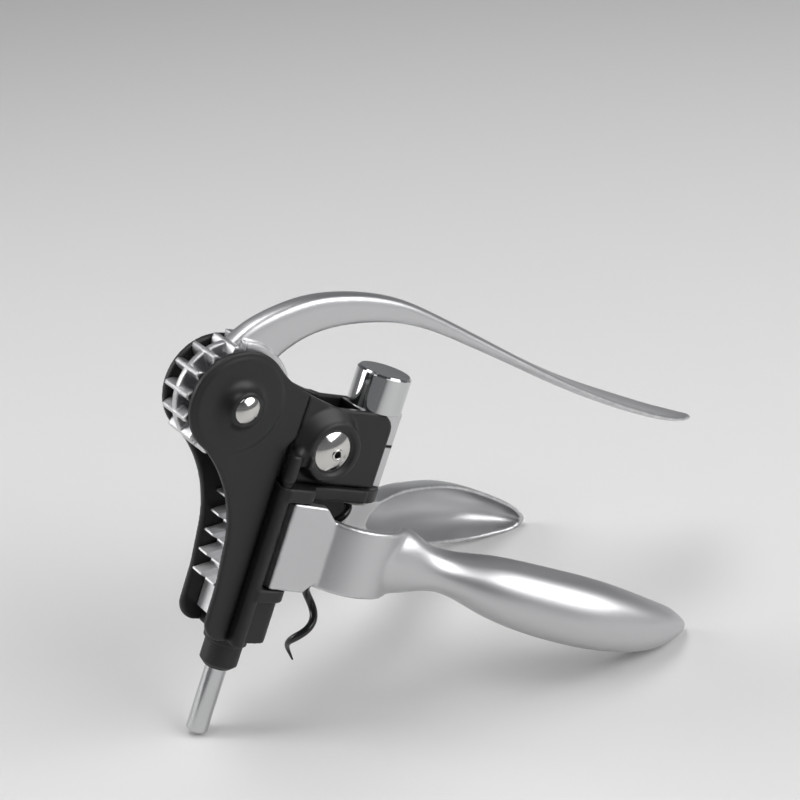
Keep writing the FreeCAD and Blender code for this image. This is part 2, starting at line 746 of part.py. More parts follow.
def worm():
    tip = -size("worm_tip")
    bend = size("worm_shank_base")
    top = size("core_top") + 4.8
    count = int((bend - tip) / (size("worm_lead") / 9))
    heights = [tip + (bend - tip) * index / count for index in range(count + 1)]
    heights += [bend + (top - bend) * index / 14 for index in range(1, 15)]
    sections = []
    for height in heights:
        ahead = wire_middle(height + 0.01) - wire_middle(height - 0.01)
        ahead.normalize()
        angle = 2 * math.pi * (min(height, bend) + 68.7) / size("worm_lead")
        outward = Vector(math.cos(angle), math.sin(angle), 0)
        across = outward - ahead * outward.dot(ahead)
        across.normalize()
        sharpen = min(0.22 + 0.78 * (height - tip) / 9.0, 1.0)
        wire = size("worm_wire") * sharpen
        sections.append((wire_middle(height), across, ahead.cross(across), wire, wire, 2.0, 0.0))
    return feature("worm", smooth_tube(sections))


def worm_collar():
    """Retaining nut on the worm's stem, inside the cap."""
    across = size("cap_bore") - 1.2
    line = size("worm_line")
    top = size("core_top")
    corners = [Vector(line + across * math.cos(math.radians(60 * step)),
                      across * math.sin(math.radians(60 * step)), top + 0.3) for step in range(7)]
    hexagon = Part.Face(Part.makePolygon(corners)).extrude(Vector(0, 0, 3.6))
    hole = Part.makeCylinder(size("worm_wire + seat_fit"), 6.0, Vector(line, 0, top - 1))
    return feature("worm_collar", hexagon.cut(hole))


# Jaws: cheek, half collar and hollow handle in one casting, with a grip pad; modelled closed

def half_ring(outer, inner, low, height):
    """The near half of a ring about the worm's axis; in front it ends short of the middle plane."""
    worm = size("worm_line")
    ring = Part.makeCylinder(outer, height, Vector(worm, 0, low))
    ring = ring.cut(Part.makeCylinder(inner, height + 2, Vector(worm, 0, low - 1)))
    behind = Part.makeBox(outer + 1, outer + 1, height + 2,
                          Vector(worm - outer - 1, -size("jaw_split") - outer - 1, low - 1))
    before = Part.makeBox(outer + 1, outer + 1, height + 2,
                          Vector(worm, -size("collar_end") - outer - 1, low - 1))
    return ring.common(behind.fuse(before))


HANDLE = [
    # x, depth of the middle below the axle, half height, bulge, bow of the rim
    (62.0, 42.5, 11.0, 9.5, 0.0), (69.0, 42.5, 11.0, 9.3, 0.0), (74.0, 42.5, 10.6, 9.0, 0.0),
    (79.0, 42.9, 8.7, 9.0, 0.0), (85.0, 43.2, 7.1, 9.7, 0.0), (100.0, 44.2, 9.2, 12.6, 2.6),
    (120.0, 45.9, 11.4, 14.4, 5.5), (140.0, 46.9, 11.5, 14.9, 7.1), (154.5, 47.8, 10.3, 13.4, 6.8),
    (167.4, 48.3, 8.1, 11.2, 5.1), (175.8, 48.2, 5.7, 8.6, 2.9), (180.8, 48.3, 3.6, 5.8, 1.7),
    (183.4, 48.3, 2.1, 3.6, 1.4), (184.8, 48.3, 0.9, 1.6, 1.3)]
THROAT = [(85.5, 43.2, 1.4, 1.5, 0.1), (87.5, 43.3, 3.6, 4.6, 0.3), (92.0, 43.6, 6.1, 8.6, 1.0)]
HOLLOW_END = [(176.0, 48.2, 4.3, 6.4, 2.85), (180.0, 48.3, 2.6, 4.0, 1.9), (182.2, 48.3, 1.0, 1.5, 1.5)]


def bowed_tube(stations):
    """Smooth tube along the bowed rim, and the points of the rim."""
    rim = size("handle_rim")
    middles = [Vector(x, -rim - bow, -drop) for x, drop, half, bulge, bow in stations]
    sections = [(middle, Vector(0, -1, 0), Vector(0, 0, 1), bulge, half, 2.3, 0.0)
                for middle, (x, drop, half, bulge, bow) in zip(middles, stations)]
    return smooth_tube(sections), middles


def outer_half(tube, middles):
    """The part of a tube outside its bowed rim."""
    edge = Part.BSplineCurve()
    edge.interpolate([Vector(middle.x, middle.y, -80) for middle in middles])
    first, last = edge.StartPoint, edge.EndPoint
    before = Vector(first.x - 1, first.y, -80)
    after = Vector(last.x + 1, last.y, -80)
    far_after = Vector(after.x, -50, -80)
    far_before = Vector(before.x, -50, -80)
    outline = Part.Wire([
        Part.makeLine(before, first), edge.toShape(), Part.makeLine(last, after),
        Part.makeLine(after, far_after), Part.makeLine(far_after, far_before),
        Part.makeLine(far_before, before)])
    return tube.common(Part.Face(outline).extrude(Vector(0, 0, 60)))


def near_handle():
    pin = Vector(size("hinge_line"), -size("hinge_offset"), 0)
    top = -size("bar_top + bar_thickness") - 0.4
    low = -size("sill_top") + 0.4
    height = top - low
    barrel_radius = size("hinge_barrel")
    barrel = Part.makeCylinder(barrel_radius, height, Vector(pin.x, pin.y, low))
    left = pin.x - size("cheek_left")
    outer = pin.y - barrel_radius
    right = size("worm_line") - 12.6
    chamfer = size("cheek_chamfer")
    corners = [(left, low), (right - chamfer, low), (right, low + chamfer), (right, top - chamfer),
               (right - chamfer, top), (left, top), (left, low)]
    cheek = Part.Face(Part.makePolygon([Vector(x, outer, z) for x, z in corners]))
    cheek = cheek.extrude(Vector(0, size("cheek_wall"), 0))
    ring_low = -size("ring_top + ring_height")
    ring = half_ring(size("ring_radius"), size("ring_radius - ring_wall"), ring_low, size("ring_height"))
    rim = size("handle_rim")
    wall = size("handle_wall")
    grip = outer_half(*bowed_tube(HANDLE))
    inner = [(x, drop, half - wall, bulge - wall, bow) for x, drop, half, bulge, bow in HANDLE[5:10]]
    hollow, middles = bowed_tube(THROAT + inner + HOLLOW_END)
    neck_end = Part.makeCylinder(size("ring_radius - ring_wall"), 60, Vector(size("worm_line"), 0, -80))
    for part in (grip, hollow):
        part.rotate(Vector(size("handle_turn"), -rim, 0), Vector(0, 0, 1), -size("handle_splay"))
    solid = barrel.fuse([cheek, ring, grip.cut(neck_end)]).cut(hollow)
    bore = Part.makeCylinder(size("hinge_pin + running_fit"), height + 2, Vector(pin.x, pin.y, low - 1))
    return feature("near_handle", solid.cut(bore))


def near_jaw_pad():
    """Soft lining of the half collar."""
    outer = size("ring_radius - ring_wall")
    low = -size("ring_top + ring_height") + 2.5
    return feature("near_jaw_pad", half_ring(outer, outer - size("pad_wall"), low, size("ring_height") - 5.0))


def jaw_swing():
    """Placement that opens the near jaw about its hinge pin."""
    pin = Vector(size("hinge_line"), -size("hinge_offset"), 0)
    turn = Rotation(Vector(0, 0, 1), -size("jaw_open"))
    return Placement(pin - turn.multVec(pin), turn)


# Build every sub-part upright

frame = [near_side_plate(), frame_body(), rod_collar(), worm_nut(), axle_pin(), near_hinge_pin()]
swinging = [lever(), lever_bush()]
sliding = [rack(), guide_rod(), near_guide_post(), carriage_core(), front_strip(), near_carriage_shell(),
           carriage_pin(), worm_bearing(), cap()]
turning = [worm(), worm_collar()]
jaw = [near_handle(), near_jaw_pad()]
doc.recompute()
for piece in jaw:
    piece.Placement = jaw_swing()
near_ones = {"near_side_plate", "near_hinge_pin", "near_guide_post", "near_carriage_shell", "near_handle",
             "near_jaw_pad"}
direct = frame + swinging + sliding + turning + jaw
pairs = [mirrored(piece.Name.replace("near", "far"), piece) for piece in direct if piece.Name in near_ones]
doc.recompute()


# Lean the whole forward until the rod's tip and the handles' bellies are level

def low_point(shapes, angle):
    turn = Placement(Vector(), Rotation(Vector(0, 1, 0), angle))
    return min(shape.transformed(turn.toMatrix()).optimalBoundingBox(False, False).ZMin for shape in shapes)


rod_shape = doc.getObject("guide_rod").Shape
handle_shape = doc.getObject("near_handle").Shape
flatter, steeper = 5.0, 40.0
for step in range(16):
    angle = (flatter + steeper) / 2
    if low_point([rod_shape], angle) < low_point([handle_shape], angle):
        flatter = angle
    else:
        steeper = angle
lean_angle = round((flatter + steeper) / 2, 3)
lean = Placement(Vector(), Rotation(Vector(0, 1, 0), lean_angle))
whole = Part.makeCompound([piece.Shape for piece in direct + pairs])
bounds = whole.transformed(lean.toMatrix()).optimalBoundingBox(False, False)
lean.Base = Vector(-bounds.Center.x, 0, -bounds.ZMin)
leaning = (("lean_angle", lean_angle), ("lean_x", lean.Base.x), ("lean_z", lean.Base.z))
for row, (alias, value) in enumerate(leaning, start=len(SIZES) + 1):
    sheet.set(f"A{row}", alias)
    sheet.set(f"B{row}", str(round(value, 4)))
    sheet.setAlias(f"B{row}", alias)
doc.recompute()
across = "cos(Sizes.lean_angle * 1deg)"
along = "sin(Sizes.lean_angle * 1deg)"
for piece in direct:
    piece.Placement = lean.multiply(piece.Placement)
    if piece.Name in places:
        x, y, z = (f"({formula(text)})" for text in places[piece.Name])
        piece.setExpression("Placement.Base.x", f"Sizes.lean_x + {x} * {across} + {z} * {along}")
        piece.setExpression("Placement.Base.z", f"Sizes.lean_z - {x} * {along} + {z} * {across}")
doc.recompute()

# Check and write

for item in doc.Objects:
    if set(item.State) & {"Invalid", "Error"}:
        raise RuntimeError(f"{item.Name} failed: {item.State}")
os.makedirs("parts", exist_ok=True)
for piece in direct + pairs:
    piece.Label = piece.Name
    if piece.Shape.isNull() or not piece.Shape.isValid():
        raise RuntimeError(f"{piece.Name} has no valid shape")
    piece.Shape.exportStep(f"parts/{piece.Name}.step")
    print(piece.Name, len(piece.Shape.Solids), round(piece.Shape.Volume, 1))
print("lean", lean_angle, "shift", [round(value, 3) for value in lean.Base])
print("size", round(bounds.XLength, 2), round(bounds.YLength, 2), round(bounds.ZLength, 2))
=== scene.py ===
import bmesh
import bpy
import math
from mathutils import Matrix, Quaternion, Vector


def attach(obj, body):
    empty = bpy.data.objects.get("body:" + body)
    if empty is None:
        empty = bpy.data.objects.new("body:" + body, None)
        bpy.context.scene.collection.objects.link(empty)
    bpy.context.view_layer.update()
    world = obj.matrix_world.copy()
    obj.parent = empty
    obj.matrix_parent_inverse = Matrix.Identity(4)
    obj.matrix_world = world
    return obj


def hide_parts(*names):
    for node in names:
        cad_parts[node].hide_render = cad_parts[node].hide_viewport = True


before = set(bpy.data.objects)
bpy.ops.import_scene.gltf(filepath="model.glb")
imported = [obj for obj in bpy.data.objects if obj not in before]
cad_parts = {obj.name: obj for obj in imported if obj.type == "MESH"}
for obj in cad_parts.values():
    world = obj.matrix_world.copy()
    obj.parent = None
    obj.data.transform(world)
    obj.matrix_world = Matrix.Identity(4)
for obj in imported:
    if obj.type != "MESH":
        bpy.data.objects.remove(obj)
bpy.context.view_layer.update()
scene = bpy.context.scene
print("frame loaded:", len(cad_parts), "nodes")

# A lever corkscrew with a satin cast lever and handles, a black frame and bright rivets.
# It was laid out upright and leans forward as it stands, so places are given in the upright layout.

perMetre = 1000  # millimetres
stand = {"lean": 21.773, "shift": (-0.084494, 0.0, 0.113856),  # degrees and metres
         "hinge": (31.0, -9.5), "jawOpen": 10.0}  # millimetres and degrees


def addNode(tree, kind, place, **settings):
    node = tree.nodes.new(kind)
    node.location = place
    for name, value in settings.items():
        setattr(node, name, value)
    return node


def setInputs(node, **values):
    for name, value in values.items():
        node.inputs[name.replace("_", " ")].default_value = value


def newGroup(name, inputs, outputs):
    tree = bpy.data.node_groups.new(name, "ShaderNodeTree")
    for label, kind, value in inputs:
        socket = tree.interface.new_socket(name=label, in_out="INPUT", socket_type=kind)
        socket.default_value = value
    for label, kind in outputs:
        tree.interface.new_socket(name=label, in_out="OUTPUT", socket_type=kind)
    return tree, addNode(tree, "NodeGroupInput", (-900, 0)), addNode(tree, "NodeGroupOutput", (700, 0))


# Shared effects, each built once as a node group

def makeCastGrain():  # fine blasted grain: a height and a roughness that varies a little
    tree, into, out = newGroup(
        "castGrain",
        [("Grain Size", "NodeSocketFloat", 900.0), ("Patch Size", "NodeSocketFloat", 25.0),
         ("Roughness", "NodeSocketFloat", 0.3), ("Variation", "NodeSocketFloat", 0.06)],
        [("Height", "NodeSocketFloat"), ("Roughness", "NodeSocketFloat")])
    place = addNode(tree, "ShaderNodeTexCoord", (-900, 300))
    grain = addNode(tree, "ShaderNodeTexNoise", (-500, 300))
    setInputs(grain, Detail=3.0, Roughness=0.6)
    patch = addNode(tree, "ShaderNodeTexNoise", (-500, 0))
    setInputs(patch, Detail=2.0)
    centred = addNode(tree, "ShaderNodeMath", (-200, 0), operation="SUBTRACT")
    centred.inputs[1].default_value = 0.5
    scaled = addNode(tree, "ShaderNodeMath", (50, 0), operation="MULTIPLY")
    total = addNode(tree, "ShaderNodeMath", (300, 0), operation="ADD")
    tree.links.new(place.outputs["Object"], grain.inputs["Vector"])
    tree.links.new(place.outputs["Object"], patch.inputs["Vector"])
    tree.links.new(into.outputs["Grain Size"], grain.inputs["Scale"])
    tree.links.new(into.outputs["Patch Size"], patch.inputs["Scale"])
    tree.links.new(patch.outputs["Fac"], centred.inputs[0])
    tree.links.new(centred.outputs[0], scaled.inputs[0])
    tree.links.new(into.outputs["Variation"], scaled.inputs[1])
    tree.links.new(scaled.outputs[0], total.inputs[0])
    tree.links.new(into.outputs["Roughness"], total.inputs[1])
    tree.links.new(grain.outputs["Fac"], out.inputs["Height"])
    tree.links.new(total.outputs[0], out.inputs["Roughness"])
    return tree


def makeEdgeWearAndHighlight():  # a mask along convex edges, broken up by noise: real edge wear, and a painted highlight along the edges where the worn colour is bright
    tree, into, out = newGroup(
        "edgeWearAndHighlight",
        [("Width", "NodeSocketFloat", 0.0006), ("Amount", "NodeSocketFloat", 0.5),
         ("Breakup", "NodeSocketFloat", 300.0)],
        [("Mask", "NodeSocketFloat")])
    rounded = addNode(tree, "ShaderNodeBevel", (-650, 200), samples=4)
    plain = addNode(tree, "ShaderNodeNewGeometry", (-650, 0))
    turn = addNode(tree, "ShaderNodeVectorMath", (-400, 150), operation="DOT_PRODUCT")
    edge = addNode(tree, "ShaderNodeMapRange", (-150, 150))
    setInputs(edge, From_Min=0.998, From_Max=0.9, To_Min=0.0, To_Max=1.0)
    place = addNode(tree, "ShaderNodeTexCoord", (-900, -250))
    noise = addNode(tree, "ShaderNodeTexNoise", (-650, -250))
    setInputs(noise, Detail=4.0)
    patches = addNode(tree, "ShaderNodeMapRange", (-400, -250))
    setInputs(patches, From_Min=0.38, From_Max=0.62)
    broken = addNode(tree, "ShaderNodeMath", (100, 0), operation="MULTIPLY")
    scaled = addNode(tree, "ShaderNodeMath", (350, 0), operation="MULTIPLY")
    tree.links.new(into.outputs["Width"], rounded.inputs["Radius"])
    tree.links.new(rounded.outputs["Normal"], turn.inputs[0])
    tree.links.new(plain.outputs["Normal"], turn.inputs[1])
    tree.links.new(turn.outputs["Value"], edge.inputs["Value"])
    tree.links.new(place.outputs["Object"], noise.inputs["Vector"])
    tree.links.new(into.outputs["Breakup"], noise.inputs["Scale"])
    tree.links.new(noise.outputs["Fac"], patches.inputs["Value"])
    tree.links.new(edge.outputs["Result"], broken.inputs[0])
    tree.links.new(patches.outputs["Result"], broken.inputs[1])
    tree.links.new(broken.outputs[0], scaled.inputs[0])
    tree.links.new(into.outputs["Amount"], scaled.inputs[1])
    tree.links.new(scaled.outputs[0], out.inputs["Mask"])
    return tree


def makeSoftEdge():  # a normal that rounds sharp edges and carries the grain's bump
    tree, into, out = newGroup(
        "softEdge",
        [("Radius", "NodeSocketFloat", 0.0004), ("Height", "NodeSocketFloat", 0.5),
         ("Strength", "NodeSocketFloat", 0.1)],
        [("Normal", "NodeSocketVector")])
    rounded = addNode(tree, "ShaderNodeBevel", (-400, 100), samples=6)
    bump = addNode(tree, "ShaderNodeBump", (100, 0))
    setInputs(bump, Distance=0.0002)
    tree.links.new(into.outputs["Radius"], rounded.inputs["Radius"])
    tree.links.new(into.outputs["Height"], bump.inputs["Height"])
    tree.links.new(into.outputs["Strength"], bump.inputs["Strength"])
    tree.links.new(rounded.outputs["Normal"], bump.inputs["Normal"])
    tree.links.new(bump.outputs["Normal"], out.inputs["Normal"])
    return tree


def makeBoxShade():  # a mask inside a box of the upright layout, for a recess in the core
    tree, into, out = newGroup(
        "boxShade",
        [("Middle", "NodeSocketVector", (0.0, 0.0, 0.0)),
         ("Half Size", "NodeSocketVector", (0.001, 0.001, 0.001)),
         ("Softness", "NodeSocketFloat", 0.0002)],
        [("Mask", "NodeSocketFloat")])
    place = addNode(tree, "ShaderNodeTexCoord", (-1100, 200))
    layout = addNode(tree, "ShaderNodeMapping", (-900, 200), vector_type="TEXTURE")
    setInputs(layout, Location=stand["shift"], Rotation=(0.0, math.radians(stand["lean"]), 0.0))
    offset = addNode(tree, "ShaderNodeVectorMath", (-700, 200), operation="SUBTRACT")
    size = addNode(tree, "ShaderNodeVectorMath", (-500, 200), operation="ABSOLUTE")
    beyond = addNode(tree, "ShaderNodeVectorMath", (-300, 200), operation="SUBTRACT")
    parts = addNode(tree, "ShaderNodeSeparateXYZ", (-100, 200))
    across = addNode(tree, "ShaderNodeMath", (100, 250), operation="MAXIMUM")
    farthest = addNode(tree, "ShaderNodeMath", (250, 200), operation="MAXIMUM")
    outside = addNode(tree, "ShaderNodeMath", (400, 150), operation="DIVIDE")
    mask = addNode(tree, "ShaderNodeMapRange", (550, 150))
    setInputs(mask, From_Min=1.0, From_Max=-1.0)
    tree.links.new(place.outputs["Object"], layout.inputs["Vector"])
    tree.links.new(layout.outputs["Vector"], offset.inputs[0])
    tree.links.new(into.outputs["Middle"], offset.inputs[1])
    tree.links.new(offset.outputs["Vector"], size.inputs[0])
    tree.links.new(size.outputs["Vector"], beyond.inputs[0])
    tree.links.new(into.outputs["Half Size"], beyond.inputs[1])
    tree.links.new(beyond.outputs["Vector"], parts.inputs["Vector"])
    tree.links.new(parts.outputs["X"], across.inputs[0])
    tree.links.new(parts.outputs["Y"], across.inputs[1])
    tree.links.new(across.outputs[0], farthest.inputs[0])
    tree.links.new(parts.outputs["Z"], farthest.inputs[1])
    tree.links.new(farthest.outputs[0], outside.inputs[0])
    tree.links.new(into.outputs["Softness"], outside.inputs[1])
    tree.links.new(outside.outputs[0], mask.inputs["Value"])
    tree.links.new(mask.outputs["Result"], out.inputs["Mask"])
    return tree


castGrain = makeCastGrain()
edgeWearAndHighlight = makeEdgeWearAndHighlight()
softEdge = makeSoftEdge()
boxShade = makeBoxShade()
print("node groups ready")


# Materials

plainLook = {"specular": 0.5, "wearAndHighlightWidth": 0.0006, "shades": ()}  # where a finish doesn't say otherwise
finishes = {  # sizes in metres, and the boxes of shade in millimetres of the upright layout
    # on the satin castings the worn colour is near white, so the edge mask paints bright highlight lines
    # along the ridges and edges
    "satinCasting": dict(colour=(0.58, 0.58, 0.59), metallic=1.0, roughness=0.40, variation=0.07,
                         grainSize=2600, bump=0.05, edge=0.0010,
                         wearAndHighlight=0.9, wearAndHighlightWidth=0.0014, wornAndHighlightColour=(0.95, 0.95, 0.95), wornAndHighlightRoughness=0.3),
    "gearSteel": dict(colour=(0.74, 0.74, 0.75), metallic=0.9, roughness=0.38, variation=0.08,
                      grainSize=1500, bump=0.05, edge=0.0003,
                      wearAndHighlight=0.5, wornAndHighlightColour=(0.88, 0.88, 0.88), wornAndHighlightRoughness=0.2),
    "rackSteel": dict(colour=(0.86, 0.86, 0.87), metallic=0.7, roughness=0.42, variation=0.08,
                      grainSize=1500, bump=0.05, edge=0.0003,
                      wearAndHighlight=0.5, wornAndHighlightColour=(0.92, 0.92, 0.92), wornAndHighlightRoughness=0.25),
    "coreCasting": dict(colour=(0.60, 0.60, 0.61), metallic=1.0, roughness=0.36, variation=0.07,
                        grainSize=2600, bump=0.05, edge=0.0004,
                        wearAndHighlight=0.25, wornAndHighlightColour=(0.8, 0.8, 0.8), wornAndHighlightRoughness=0.2,
                        shadeColour=(0.02, 0.02, 0.021),  # inside boxes: each a middle and its half sizes
                        shades=[((34.4, 0.0, -1.6), (12.6, 6.0, 4.0)), ((63.0, 0.0, -8.9), (3.5, 6.0, 0.5))]),
    "blackCoat": dict(colour=(0.012, 0.012, 0.013), metallic=0.0, roughness=0.44, variation=0.08,
                      grainSize=1800, bump=0.08, edge=0.0011, specular=0.4,
                      wearAndHighlight=0.35, wornAndHighlightColour=(0.07, 0.07, 0.075), wornAndHighlightRoughness=0.34),
    "blackPlastic": dict(colour=(0.013, 0.013, 0.014), metallic=0.0, roughness=0.5, variation=0.06,
                         grainSize=1400, bump=0.12, edge=0.0006, specular=0.4,
                         wearAndHighlight=0.2, wornAndHighlightColour=(0.07, 0.07, 0.07), wornAndHighlightRoughness=0.4),
    "blackWorm": dict(colour=(0.012, 0.012, 0.013), metallic=0.0, roughness=0.25, variation=0.05,
                      grainSize=1500, bump=0.04, edge=0.0002,
                      wearAndHighlight=0.2, wornAndHighlightColour=(0.1, 0.1, 0.1), wornAndHighlightRoughness=0.25),
    "polishedChrome": dict(colour=(0.58, 0.585, 0.59), metallic=1.0, roughness=0.06, variation=0.02,
                           grainSize=900, bump=0.01, edge=0.0004,
                           wearAndHighlight=0.1, wornAndHighlightColour=(0.75, 0.75, 0.75), wornAndHighlightRoughness=0.12),
    "nickelRivet": dict(colour=(0.60, 0.59, 0.57), metallic=1.0, roughness=0.13, variation=0.05,
                        grainSize=1200, bump=0.02, edge=0.0003,
                        wearAndHighlight=0.2, wornAndHighlightColour=(0.8, 0.79, 0.77), wornAndHighlightRoughness=0.2),
    "bearingPlastic": dict(colour=(0.42, 0.41, 0.38), metallic=0.0, roughness=0.45, variation=0.06,
                           grainSize=900, bump=0.08, edge=0.0003,
                           wearAndHighlight=0.1, wornAndHighlightColour=(0.55, 0.54, 0.5), wornAndHighlightRoughness=0.35),
    "softPad": dict(colour=(0.022, 0.022, 0.022), metallic=0.0, roughness=0.72, variation=0.08,
                    grainSize=1100, bump=0.2, edge=0.0004,
                    wearAndHighlight=0.15, wornAndHighlightColour=(0.06, 0.06, 0.06), wornAndHighlightRoughness=0.8),
}


def makeFinish(name, look):
    look = {**plainLook, **look}
    material = bpy.data.materials.new(name)
    material.use_nodes = True
    tree = material.node_tree
    shader = tree.nodes["Principled BSDF"]
    shader.inputs["Metallic"].default_value = look["metallic"]
    shader.inputs["Specular IOR Level"].default_value = look["specular"]
    grain = addNode(tree, "ShaderNodeGroup", (-900, -100), node_tree=castGrain)
    setInputs(grain, Grain_Size=look["grainSize"], Roughness=look["roughness"], Variation=look["variation"])
    wearAndHighlight = addNode(tree, "ShaderNodeGroup", (-900, 200), node_tree=edgeWearAndHighlight)
    setInputs(wearAndHighlight, Width=look["wearAndHighlightWidth"], Amount=look["wearAndHighlight"])
    colour = addNode(tree, "ShaderNodeMix", (-500, 300), data_type="RGBA")
    colour.inputs["A"].default_value = (*look["colour"], 1.0)
    colour.inputs["B"].default_value = (*look["wornAndHighlightColour"], 1.0)
    gloss = addNode(tree, "ShaderNodeMix", (-500, 0), data_type="FLOAT")
    gloss.inputs["B"].default_value = look["wornAndHighlightRoughness"]
    surface = addNode(tree, "ShaderNodeGroup", (-300, -300), node_tree=softEdge)
    setInputs(surface, Radius=look["edge"], Strength=look["bump"])
    # the edge mask mixes in the worn colour: real edge wear, and a painted highlight where that colour is
    # bright
    tree.links.new(wearAndHighlight.outputs["Mask"], colour.inputs["Factor"])
    tree.links.new(wearAndHighlight.outputs["Mask"], gloss.inputs["Factor"])
    tree.links.new(grain.outputs["Roughness"], gloss.inputs["A"])
    tree.links.new(grain.outputs["Height"], surface.inputs["Height"])
    tint = colour.outputs["Result"]
    for middle, half in look["shades"]:
        shade = addNode(tree, "ShaderNodeGroup", (-900, 450), node_tree=boxShade)
        setInputs(shade, Middle=[along / perMetre for along in middle],
                  Half_Size=[along / perMetre for along in half])
        darker = addNode(tree, "ShaderNodeMix", (-250, 300), data_type="RGBA")
        darker.inputs["B"].default_value = (*look["shadeColour"], 1.0)
        tree.links.new(shade.outputs["Mask"], darker.inputs["Factor"])
        tree.links.new(tint, darker.inputs["A"])
        tint = darker.outputs["Result"]
    tree.links.new(tint, shader.inputs["Base Color"])
    tree.links.new(gloss.outputs["Result"], shader.inputs["Roughness"])
    tree.links.new(surface.outputs["Normal"], shader.inputs["Normal"])
    return material


materials = {name: makeFinish(name, look) for name, look in finishes.items()}

nodeFinish = {
    "near_side_plate": "blackCoat", "far_side_plate": "blackCoat", "frame_body": "blackCoat",
    "rod_collar": "blackPlastic", "worm_nut": "bearingPlastic", "axle_pin": "nickelRivet",
    "near_hinge_pin": "gearSteel", "far_hinge_pin": "gearSteel",
    "lever": "satinCasting", "lever_bush": "bearingPlastic",
    "rack": "rackSteel", "guide_rod": "polishedChrome", "near_guide_post": "blackCoat",
    "far_guide_post": "blackCoat", "carriage_core": "coreCasting", "front_strip": "gearSteel",
    "near_carriage_shell": "blackCoat", "far_carriage_shell": "blackCoat", "carriage_pin": "nickelRivet",
    "worm_bearing": "bearingPlastic", "cap": "polishedChrome",
    "worm": "blackWorm", "worm_collar": "gearSteel",
    "near_handle": "satinCasting", "far_handle": "satinCasting",
    "near_jaw_pad": "softPad", "far_jaw_pad": "softPad",
}
for node, finish in nodeFinish.items():
    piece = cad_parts[node]
    piece.data.materials.clear()
    piece.data.materials.append(materials[finish])
print("materials set")


# Castings and mouldings: a copy of a CAD node with soft blends added, and all its edges rounded

shaping = {"flareCorners": 64, "limbSides": 32, "limbRounding": 3,  # steps of the added forms
           "sameCorner": 0.000001,  # metres, corners closer than this become one
           "smoothing": 0.5, "blendRise": 2.5}  # a pass's strength, and how steeply a blend sets in


def upright(x, y, z):  # a point of the upright layout in millimetres, as a point of the scene
    turn = math.radians(stand["lean"])
    level = Vector((x * math.cos(turn) + z * math.sin(turn), y, z * math.cos(turn) - x * math.sin(turn)))
    return level / perMetre + Vector(stand["shift"])


def openJaw(x, y, z):  # a point of the closed near jaw, with the jaw opened about its hinge
    acrossX, acrossY = x - stand["hinge"][0], y - stand["hinge"][1]
    turn = -math.radians(stand["jawOpen"])
    return upright(stand["hinge"][0] + acrossX * math.cos(turn) - acrossY * math.sin(turn),
                   stand["hinge"][1] + acrossX * math.sin(turn) + acrossY * math.cos(turn), z)


def addLimb(shape, start, end, startRadius, endRadius):  # a rounded limb that fills a corner
    for point, radius in ((start, startRadius), (end, endRadius)):
        bmesh.ops.create_icosphere(shape, subdivisions=shaping["limbRounding"], radius=radius,
                                   matrix=Matrix.Translation(point))
    along = end - start
    place = Matrix.Translation((start + end) / 2) @ along.to_track_quat("Z", "Y").to_matrix().to_4x4()
    bmesh.ops.create_cone(shape, cap_ends=True, segments=shaping["limbSides"], radius1=startRadius,
                          radius2=endRadius, depth=along.length, matrix=place)


def addFlare(shape, foot, crest, footRadius, crestRadius):  # an oblique cone between two rounds, along y
    corners, around = [], shaping["flareCorners"]
    for middle, radius in ((foot, footRadius), (crest, crestRadius)):
        for step in range(around):
            turn = 2 * math.pi * step / around
            corners.append(shape.verts.new(upright(middle[0] + radius * math.cos(turn), middle[1],
                                                   middle[2] + radius * math.sin(turn))))
    bmesh.ops.convex_hull(shape, input=corners)


def carveBox(piece, low, high):  # cuts a box of the upright layout out of the piece
    shape = bmesh.new()
    middle = upright(*[(start + end) / 2 for start, end in zip(low, high)])
    sides = [(end - start) / perMetre for start, end in zip(low, high)]
    place = Matrix.Translation(middle) @ Matrix.Rotation(math.radians(stand["lean"]), 4, "Y")
    bmesh.ops.create_cube(shape, size=1.0, matrix=place @ Matrix.Diagonal((*sides, 1.0)))
    cutter = bpy.data.objects.new("cutter", bpy.data.meshes.new("cutter"))
    shape.to_mesh(cutter.data)
    shape.free()
    scene.collection.objects.link(cutter)
    carving = piece.modifiers.new("carving", "BOOLEAN")
    carving.operation = "DIFFERENCE"
    carving.object = cutter
    bakeModifiers(piece)
    bpy.data.objects.remove(cutter)


def bakeModifiers(piece):  # the shape with its modifiers becomes the piece's own mesh
    bpy.context.view_layer.update()
    solved = bpy.data.meshes.new_from_object(piece.evaluated_get(bpy.context.evaluated_depsgraph_get()))
    piece.modifiers.clear()
    piece.data = solved


def keepLargestPart(piece):  # the voxels can leave a crumb in a small void
    shape = bmesh.new()
    shape.from_mesh(piece.data)
    waiting, parts = set(shape.faces), []
    while waiting:
        part, front = [], [waiting.pop()]
        while front:
            face = front.pop()
            part.append(face)
            for edge in face.edges:
                fresh = [other for other in edge.link_faces if other in waiting]
                waiting.difference_update(fresh)
                front.extend(fresh)
        parts.append(part)
    parts.sort(key=len)
    for part in parts[:-1]:
        bmesh.ops.delete(shape, geom=part, context="FACES")
    shape.to_mesh(piece.data)
    shape.free()


def addSmoothing(piece, passes, group=""):  # over the whole piece, or where a vertex group says
    smoothing = piece.modifiers.new("smoothing", "SMOOTH")
    smoothing.factor = shaping["smoothing"]
    smoothing.iterations = passes
    smoothing.vertex_group = group


